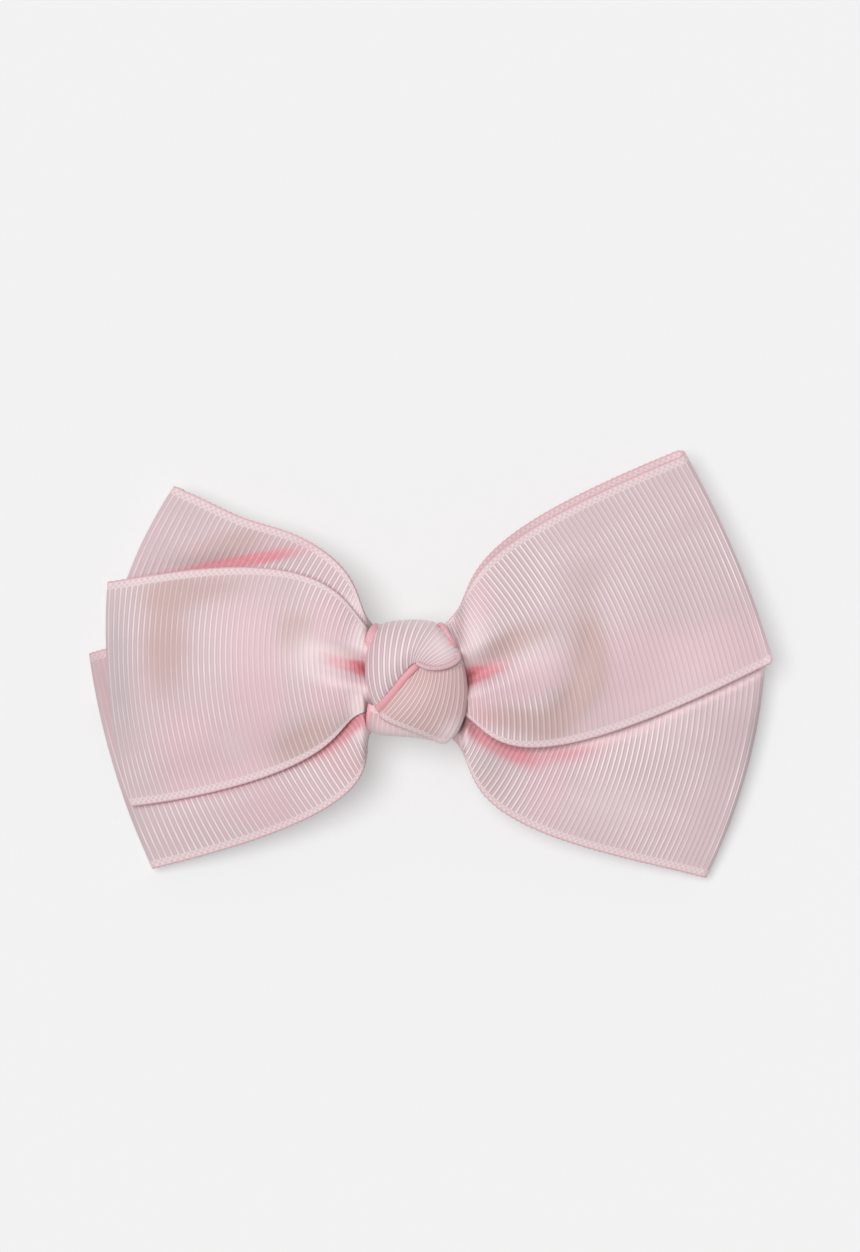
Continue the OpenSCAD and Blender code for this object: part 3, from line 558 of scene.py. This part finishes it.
for name, style in stretches.items():
    points, along = halfRibbon(style, side, False)
    inner = np.zeros(len(points))
    if "nearBack" in style:
        rear, rearAlong = halfRibbon(style, side, True)
        inner = np.concatenate([np.zeros(len(points)), smooth(rearAlong[1:] / laying["innerOver"])])
        points = np.concatenate([points[::-1], rear[1:]])
        along = np.concatenate([-along[::-1], rearAlong[1:]])
    along = along + firstCord["bow"]
    x, y = points[..., 0], points[..., 1]
    # painted shade: deeper pink in the pinch beside the knot, in listed spots by overlapping edges and on
    # each loop's rear layer
    recessShade = (laying["pinchShade"] * pleat(x, y)[1] + soften(style["recessShade"], x, y)
             + laying["innerShade"] * inner[:, None])
    piece = wovenSheet(name + "_cloth", points, along, spans, bowFinish, recessShade=recessShade,
                       tanShadow=soften(style["tanShadow"], x, y), roseLightAndPatches=soften(style["roseLightAndPatches"], x, y),
                       highlightCrisp=style["highlightCrisp"][0] + soften(style["highlightCrisp"][1], x, y),
                       shade=soften(style["shade"], x, y))
    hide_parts(name)
    length = (along[-1] - along[0]) * weave["pitch"]
    length * mm
    print(name, "length", round(length, 1), "faces", len(piece.data.polygons))


# the knot: two lobes of ribbon, the tail of the wrap below them, and rolled edges at the tucks

def through(stations, t):                              # a smooth line through the stations, t from 0 to 1
    stations = np.asarray(stations, float)
    n = len(stations) - 1
    k = np.clip((t * n).astype(int), 0, n - 1)
    f = (t * n - k).reshape(-1, *[1] * (stations.ndim - 1))
    a, b, c, d = (stations[np.clip(k + i, 0, n)] for i in (-1, 0, 1, 2))
    a = np.where((k == 0).reshape(f.shape), 2 * b - c, a)
    d = np.where((k == n - 1).reshape(f.shape), 2 * c - b, d)
    bend = (2 * a - 5 * b + 4 * c - d) * f ** 2
    twist = (3 * b - a - 3 * c + d) * f ** 3
    return 0.5 * (2 * b + (c - a) * f + bend + twist)


def ribPatch(stations, rows, cols):                    # a station is a line across: end, two handles, end
    four = through(stations, np.linspace(0, 1, rows))
    t = np.linspace(0, 1, cols)[:, None]
    return sum(four[:, i, None, :] * c for i, c in enumerate(
        [(1 - t) ** 3, 3 * (1 - t) ** 2 * t, 3 * (1 - t) * t * t, t ** 3]))


knotPieces = {
    "knot_upper_lobe": {
        "cords": 25, "steps": 7, "recessShade": 0.0, "roseLightAndPatches": 0.4, "plain": 40,
        "shade": [(5.5, 7, 3.5, 3.5, 0, -0.9), (0, 11, 9, 2, 0, -0.6)],
        "stations": [
            [(-6.2, 8.4, 13.5), (-8.3, 5, 15), (-8.4, 0, 15), (-6.5, -4.3, 15.5)],
            [(-6.4, 9.2, 13.2), (-8.8, 5.6, 19), (-8.5, -1, 19), (-6.4, -4.1, 17.6)],
            [(-4.7, 10.0, 13), (-5.9, 10.2, 22), (-6.5, 0, 22.6), (-5.1, -2.3, 19.8)],
            [(-1.8, 10.3, 13), (-2.3, 11.1, 22.4), (-4.4, 3, 23.2), (-3.1, 0.2, 20.8)],
            [(1.4, 10.3, 13), (1.5, 11.1, 22.4), (-1.3, 6.0, 23.4), (-0.9, 2.8, 21.2)],
            [(3.9, 9.6, 13.6), (4.4, 10.0, 22), (0.4, 5.8, 23), (0.0, 3.3, 21.3)],
            [(5.7, 7.6, 14.6), (6.7, 8.0, 21.6), (2.0, 5.2, 22.8), (1.0, 3.2, 21.3)],
            [(6.9, 5.7, 15.6), (8.0, 6.0, 21), (4.0, 4.1, 22.4), (1.9, 2.8, 21.2)],
            [(7.3, 4.6, 16), (8.3, 4.5, 20.6), (5.6, 3.0, 21.8), (2.6, 2.5, 21.0)],
            [(7.2, 3.9, 16), (7.7, 3.4, 20.2), (5.4, 2.1, 21.2), (2.4, 2.2, 20.6)],
        ],
    },
    "knot_lower_lobe": {
        "cords": 23, "steps": 7, "recessShade": 0.0, "tuck": 2.6, "tanShadow": 0.8,
        "shade": [(6.5, -9, 4, 3, 40, -0.8)],
        "stations": [
            [(-1.8, 4.4, 18.6), (-3.6, 1.6, 19.4), (-5.6, -1.4, 18.6), (-6.6, -4.0, 15)],
            [(-0.4, 4.0, 19.3), (-2.0, 1.0, 20.3), (-4.8, -2.4, 19.6), (-6.2, -4.8, 16)],
            [(0.4, 3.4, 19.7), (-0.6, -0.4, 21.4), (-4.0, -3.4, 20.8), (-5.7, -5.8, 18.4)],
            [(1.6, 3.2, 20), (1.4, -1, 22.2), (-2.2, -4.8, 21.8), (-4.2, -6.7, 18.9)],
            [(3.0, 3.1, 20), (3.4, -1, 22.6), (0.4, -5.8, 22.0), (-2.0, -7.6, 18.9)],
            [(4.6, 3.3, 19.8), (5.2, -1, 22.2), (2.8, -6.8, 21.4), (0.6, -8.6, 18.2)],
            [(6.2, 3.8, 19.2), (7.2, -1, 21.4), (5.4, -8.0, 20.6), (2.9, -9.6, 16.6)],
            [(7.5, 4.2, 18), (8.9, 0, 19.6), (8.9, -7.6, 19.2), (5.1, -10.2, 15.2)],
            [(7.7, 4.4, 15.4), (9.2, 0.6, 15.4), (9.2, -5.6, 15), (7.2, -8.0, 13.6)],
        ],
    },
    "knot_wrap_tail": {
        "cords": 12, "steps": 6, "recessShade": 0.05, "cord": 0.12, "tuck": 1.1, "tanShadow": 0.5,
        "shade": [(-2, -9.5, 9, 2.4, -8, -0.8)],
        "stations": [
            [(-7.8, -3.6, 15.8), (-8.3, -5.8, 16.8), (-8.4, -8.6, 15.4), (-7.4, -8.3, 9.2)],
            [(-5.4, -4.4, 16.6), (-6.0, -7.0, 18.6), (-6.2, -9.6, 17.2), (-5.7, -8.6, 9)],
            [(-3.0, -4.9, 16.8), (-3.1, -7.6, 18.8), (-3.2, -9.8, 17.4), (-3.1, -8.8, 9)],
            [(0.6, -5.6, 16.8), (0.6, -8.4, 18.4), (0.5, -10.1, 17.0), (0.5, -9.1, 9)],
            [(3.4, -6.8, 15.4), (3.6, -9.0, 16.8), (3.7, -10.5, 15.4), (3.6, -9.6, 9)],
        ],
    },
}

knotLook = {"columns": 34, "highlightCrisp": 0.6, "cord": 0.85}
knotFinish = grosgrainFinish("knot_grosgrain", grosgrainLook | {
    "tanShadow": linear(212, 174, 173), "tanShadowHighlight": linear(233, 203, 200)})
smoothFinish = grosgrainFinish("worn_grosgrain", grosgrainLook | {
    "flank": linear(219, 182, 188), "crestHighlight": linear(230, 197, 202), "shadeLineAndGaps": linear(206, 164, 171),
    "recessShadeColour": linear(238, 160, 170), "recessShadeHighlight": linear(242, 170, 179)})
for name, style in knotPieces.items():
    rows = style["cords"] * style["steps"] + 1
    points = ribPatch(style["stations"], rows, knotLook["columns"])
    across = np.linalg.norm(np.diff(points, axis=1), axis=2).mean(0)
    spanHere = np.concatenate([[0], np.cumsum(across)])
    x, y = points[..., 0], points[..., 1]
    count = (np.arange(rows) / style["steps"])[:, None]
    # painted shade: deeper pink over the first cords by each tuck
    recessShade = style["recessShade"] + smooth((style.get("tuck", 0) - count) / 1.2)
    piece = wovenSheet(name, points, firstCord["knot"] + np.arange(rows) / style["steps"], spanHere,
                       smoothFinish if name == "knot_wrap_tail" else knotFinish, recessShade=recessShade,
                       tanShadow=style.get("tanShadow", 0), roseLightAndPatches=style.get("roseLightAndPatches", 0), highlightCrisp=knotLook["highlightCrisp"],
                       shade=soften(style["shade"], x, y), cord=style.get("cord", knotLook["cord"]),
                       trim=2 * smooth((style.get("plain", -2) - count) / 2))
    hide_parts("center_knot")
    style["piece"] = piece
    style["measured"] = (spanHere[-1], np.linalg.norm(np.diff(points, axis=0), axis=2).sum(0).mean())
    print(name, "measured", [round(float(a), 1) for a in style["measured"]])

rolledEdges = {                                       # narrow rolls of selvedge along the knot's tucks
    "knot_tucked_edge": {"width": 0.7, "recessShade": 0.5, "line": [
        (3.9, 9.4, 15.6), (4.4, 9.7, 18.4), (5.1, 8.8, 20.1), (5.9, 7.5, 20.3), (6.6, 6.2, 19.4),
        (6.9, 5.5, 18)]},
    "knot_lip_edge": {"width": 0.65, "recessShade": 0.1, "line": [
        (7.2, 4.9, 19.6), (7.3, 4.0, 20.6), (6.4, 3.2, 21.3), (4.9, 2.6, 21.7), (3.2, 2.4, 21.9),
        (1.6, 2.7, 21.9), (0.3, 3.3, 21.6)]},
    "knot_crease_edge": {"width": 1.3, "recessShade": 0.7, "line": [
        (1.0, 3.5, 20.2), (-0.1, 2.6, 20.7), (-1.8, 0.8, 20.7), (-3.6, -1.4, 20.1), (-5.1, -3.2, 19.2),
        (-6.2, -4.5, 17.8)]},
    "waist_tucked_edge": {"width": 1.7, "recessShade": 0.4, "line": [
        (-6.3, 9.2, 14.0), (-6.7, 8.9, 15.7), (-7.2, 8.0, 16.8), (-7.6, 6.5, 16.9), (-8.0, 4.4, 15.8)]},
}

rolling = {"rows": 80, "steps": 9, "turn": 60, "share": 1.8, "flatten": 0.5, "up": (0.15, 0.1, 1.0),
           "inset": 3, "spread": 1.2, "cord": 0.1}

for name, roll in rolledEdges.items():
    width = roll["width"]
    radius = width / rolling["share"]
    middle = through(roll["line"], np.linspace(0, 1, rolling["rows"]))
    run = unit(np.gradient(middle, axis=0))
    flatWay = unit(np.cross(run, np.array(rolling["up"])))
    rollUp = np.cross(flatWay, run)
    turned = np.radians(np.linspace(-rolling["turn"], rolling["turn"], rolling["steps"]))
    points = (middle[:, None] + flatWay[:, None] * (radius * np.sin(turned))[None, :, None]
              + rollUp[:, None] * (radius * (np.cos(turned) - rolling["flatten"]))[None, :, None])
    steps = np.concatenate([[0], np.cumsum(np.linalg.norm(np.diff(middle, axis=0), axis=1))])
    spanHere = rolling["inset"] + np.linspace(0, width * rolling["spread"], rolling["steps"])
    piece = wovenSheet(name, points, firstCord["roll"] + steps / weave["pitch"], spanHere, smoothFinish,
                       recessShade=roll["recessShade"], highlightCrisp=0.0, cord=rolling["cord"], trim=rolling["inset"])
    knotPieces["knot_upper_lobe"].setdefault("with", []).append(piece)

for name, style in knotPieces.items():
    [a * mm for a in style["measured"]]


# the wrap round the waist, the lining of the clip and the thread

wrap = {"x": -1.0, "width": 10.4, "front": -8.3, "rear": 9.4, "low": 3.6, "high": 15.2, "corner": 2.7,
        "folds": 2.5, "depth": 0.22, "steps": 30}
corner = wrap["corner"]
quarter = np.linspace(0, math.pi / 2, 12)[1:]
turnIn = [(corner * (1 - math.cos(a)), wrap["low"] + corner * (1 - math.sin(a))) for a in quarter]
path = [(wrap["front"], z) for z in np.linspace(wrap["high"], wrap["low"] + corner, wrap["steps"])]
path += [(wrap["front"] + y, z) for y, z in turnIn] + [(wrap["rear"] - y, z) for y, z in turnIn[::-1]]
path += [(wrap["rear"], z) for z in np.linspace(wrap["low"] + corner, wrap["high"], wrap["steps"])]


def evenly(line, step):                                # the same line in equal steps
    run = np.concatenate([[0], np.cumsum(np.linalg.norm(np.diff(line, axis=0), axis=1))])
    count = int(round(run[-1] / step))
    at = np.linspace(0, run[-1], count + 1)
    return np.stack([np.interp(at, run, line[:, i]) for i in range(line.shape[1])], 1), at


path, steps = evenly(np.array(path), weave["pitch"] / weave["rows"])
away = unit(np.gradient(path, axis=0))[:, ::-1] * np.array([1, -1])      # outwards from the loop
wrapSpan = acrossSteps(wrap["width"], 14)
ripple = wrap["depth"] * (1 - np.cos(2 * math.pi * wrap["folds"] * wrapSpan / wrap["width"])) / 2
yz = path[:, None] + away[:, None] * ripple[None, :, None]
across = np.broadcast_to((wrap["x"] - wrap["width"] / 2 + wrapSpan)[None, :, None], yz[..., :1].shape)
points = np.concatenate([across, yz], -1)
piece = wovenSheet("knot_band_wrap", points, firstCord["wrap"] + steps / weave["pitch"], wrapSpan,
                   knotFinish, recessShade=0.15)
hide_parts("knot_band")
print("wrap length", round(steps[-1], 1))

lining = {"width": 10.0, "start": 6.8, "tip": -20.0, "centre": 4.75, "offset": 0.65, "steps": 60, "rows": 5}
upper = lining["centre"] + lining["offset"]
lower = lining["centre"] - lining["offset"]
path = [(x, upper) for x in np.linspace(lining["start"], lining["tip"], lining["steps"])]
path += [(lining["tip"] - lining["offset"] * math.sin(a), lining["centre"] + lining["offset"] * math.cos(a))
         for a in np.linspace(0, math.pi, 20)[1:-1]]
path += [(x, lower) for x in np.linspace(lining["tip"], lining["start"], lining["steps"])]
path, steps = evenly(np.array(path), weave["pitch"] / lining["rows"])
liningSpan = acrossSteps(lining["width"], 12)
grid = (len(path), len(liningSpan))
points = np.stack([np.broadcast_to(path[:, None, 0], grid),
                   np.broadcast_to(liningSpan - lining["width"] / 2, grid),
                   np.broadcast_to(path[:, None, 1], grid)], -1)
liningFinish = grosgrainFinish("lining_grosgrain", grosgrainLook | {"roughness": 0.6})
piece = wovenSheet("clip_lining_ribbon", points, firstCord["wrap"] + steps / weave["pitch"], liningSpan,
                   liningFinish, recessShade=0.1, cord=0.55)
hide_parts("clip_lining")
print("lining length", round(steps[-1], 1))


# a round wire along a line in equal steps, closed at both ends; sideways is never along the line

wire = {"sides": 12, "step": 0.12, "tip": 1e-6}
around = np.linspace(0, 2 * math.pi, wire["sides"] + 1)


def roundWire(name, line, radius, sideways, material, body="bow"):
    run = unit(np.gradient(line, axis=0))
    first = unit(np.cross(run, np.array(sideways, float)))
    second = np.cross(run, first)
    radius = np.array(np.broadcast_to(radius, (len(line), len(around))))
    radius[[0, -1]] = wire["tip"]
    points = (line[:, None] + first[:, None] * (radius * np.cos(around))[..., None]
              + second[:, None] * (radius * np.sin(around))[..., None])
    return showPiece(name, gridMesh(name, points, {}), material, body)


thread = {"turns": 2, "step": 1.0, "radius": 0.25, "low": 6.85, "high": 15.45, "reach": 7.9, "twist": 1.6,
          "groove": 0.2, "points": 600}


def threadPath(t):                                     # t counts turns round the waist
    a = 2 * math.pi * (t - 0.25)
    c, s = np.cos(a), np.sin(a)
    r = 1 / (np.abs(c) ** 4 + np.abs(s) ** 4) ** 0.25
    middle = (thread["low"] + thread["high"]) / 2
    rise = (thread["high"] - thread["low"]) / 2
    x = (t - thread["turns"] / 2) * thread["step"]
    return np.stack([x, thread["reach"] * r * c, middle + rise * r * s], -1)


line, steps = evenly(threadPath(np.linspace(0, thread["turns"], thread["points"])), wire["step"])
lay = around[None] - 2 * math.pi * steps[:, None] / thread["twist"]
twoPlies = thread["radius"] * (1 - thread["groove"] + thread["groove"] * np.abs(np.cos(lay)))
print("thread length", round(steps[-1], 1))

threadFinish = Finish("polyester_thread", Roughness=0.5, Sheen_Weight=0.3)
fibre = threadFinish.cloud(threadFinish.place(), 2500.0, 3.0)
threadFinish.give(Base_Color=threadFinish.blend(fibre, linear(226, 196, 200), linear(248, 232, 233)),
                  Normal=threadFinish.bump(fibre, 0.00004))
piece = roundWire("gathering_thread_ply", line, twoPlies, (1, 0, 0), threadFinish.material)
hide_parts("gathering_thread")


# metal and glue

def metalFinish(name, bright, dull, roughness, grain):
    f = Finish(name, Metallic=1.0)
    scratches = f.cloud(f.place(grain), 900.0, 4.0, 0.7)
    smudge = f.cloud(f.place(), 160.0, 3.0)
    f.give(Base_Color=f.blend(smudge.limit(0.35, 0.75), bright, dull),
           Roughness=smudge.limit(0.3, 0.8) * 0.14 + scratches * 0.12 + roughness,
           Normal=f.bump(scratches, 0.00002, 0.4))
    return f.material


nickel = metalFinish("nickel_plate", linear(205, 203, 200), linear(176, 173, 170), 0.16, (0.08, 1, 1))
springSteel = metalFinish("spring_wire", linear(196, 196, 198), linear(158, 157, 160), 0.2, (1, 1, 1))
glue = Finish("hot_glue", Roughness=0.3, Transmission_Weight=0.25, IOR=1.48, Subsurface_Weight=0.2,
              Subsurface_Scale=0.002)
milk = glue.cloud(glue.place(), 350.0, 3.0)
glue.give(Base_Color=glue.blend(milk, linear(232, 226, 214), linear(246, 243, 236)),
          Normal=glue.bump(milk, 0.0002, 0.6))

for name, material in {"clip_upper_arm": nickel, "clip_lower_arm": nickel, "clip_pin": nickel,
                       "glue_pad": glue.material}.items():
    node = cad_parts[name]
    for slotHere in node.material_slots:
        slotHere.material = material


# the spring: a wire from its lower leg round the coil to its rising upper leg, attached to no body

spring = {"x": 11.0, "z": 2.55, "radius": 1.3, "wire": 0.3, "turns": 3, "step": 1.1, "leg": 7.0, "rise": 11,
          "bowAbove": 3.5, "armBelow": 1.6, "points": 400}
sweep = 360 * spring["turns"] + 180 - spring["rise"]
share = np.linspace(0, 1, spring["points"])
angle = np.radians(-90 - sweep * share)
coil = np.stack([spring["x"] + spring["radius"] * np.cos(angle),
                 (share - 0.5) * spring["step"] * sweep / 360,
                 spring["z"] + spring["radius"] * np.sin(angle)], -1)
rise = math.radians(spring["rise"])
lowerEnd = coil[:1] + [spring["leg"], 0, 0]
upperEnd = coil[-1:] + [spring["leg"] * math.cos(rise), 0, spring["leg"] * math.sin(rise)]
line, steps = evenly(np.concatenate([lowerEnd, coil, upperEnd]), wire["step"])
piece = roundWire("clip_spring_wire", line, spring["wire"], (0, 1, 0), springSteel, body=None)
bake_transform(piece)
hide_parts("clip_spring")
print("clip, glue, thread and spring finished")


# the floor and the light

light = {"floor": linear(242, 242, 242), "floorSize": 3, "floorDrop": -0.0001, "even": 0.42, "world": 0.3,
         "key": 2.3, "spread": 30, "from": (-0.22, 0.12, 0.97)}

floorFinish = Finish("pale_floor", Base_Color=light["floor"], Roughness=0.9, Specular_IOR_Level=0.0)
glow = floorFinish.node("ShaderNodeEmission", None, {0: light["floor"], 1: 1.0})
seen = sum(floorFinish.node("ShaderNodeLightPath", out=ray + " Ray") for ray in (
    "Is Camera", "Is Glossy", "Is Transmission"))
mixed = floorFinish.node("ShaderNodeMixShader", None, {0: seen * light["even"]})
floorFinish.tree.links.new(floorFinish.shader.outputs[0], mixed.socket.node.inputs[1])
floorFinish.tree.links.new(glow.socket, mixed.socket.node.inputs[2])
floorFinish.tree.links.new(mixed.socket, floorFinish.tree.nodes["Material Output"].inputs[0])
bm = bmesh.new()
bmesh.ops.create_grid(bm, x_segments=1, y_segments=1, size=light["floorSize"])
bmesh.ops.translate(bm, verts=bm.verts, vec=(0, 0, light["floorDrop"]))
floorMesh = bpy.data.meshes.new("floor")
bm.to_mesh(floorMesh)
bm.free()
floorMesh.materials.append(floorFinish.material)
floor = bpy.data.objects.new("floor", floorMesh)
bpy.context.collection.objects.link(floor)

world = bpy.data.worlds.new("studio")
world.use_nodes = True
world.node_tree.nodes["Background"].inputs[0].default_value = (1, 1, 1, 1)
world.node_tree.nodes["Background"].inputs[1].default_value = light["world"]
bpy.context.scene.world = world

lamp = bpy.data.lights.new("key", "SUN")
lamp.energy = light["key"]
lamp.angle = math.radians(light["spread"])
key = bpy.data.objects.new("key", lamp)
key.location = light["from"]
bpy.context.collection.objects.link(key)
key.rotation_mode = "QUATERNION"
key.rotation_quaternion = (-key.location).to_track_quat("-Z", "Y")

bpy.context.scene.view_settings.view_transform = "Standard"
print("stage and light set")
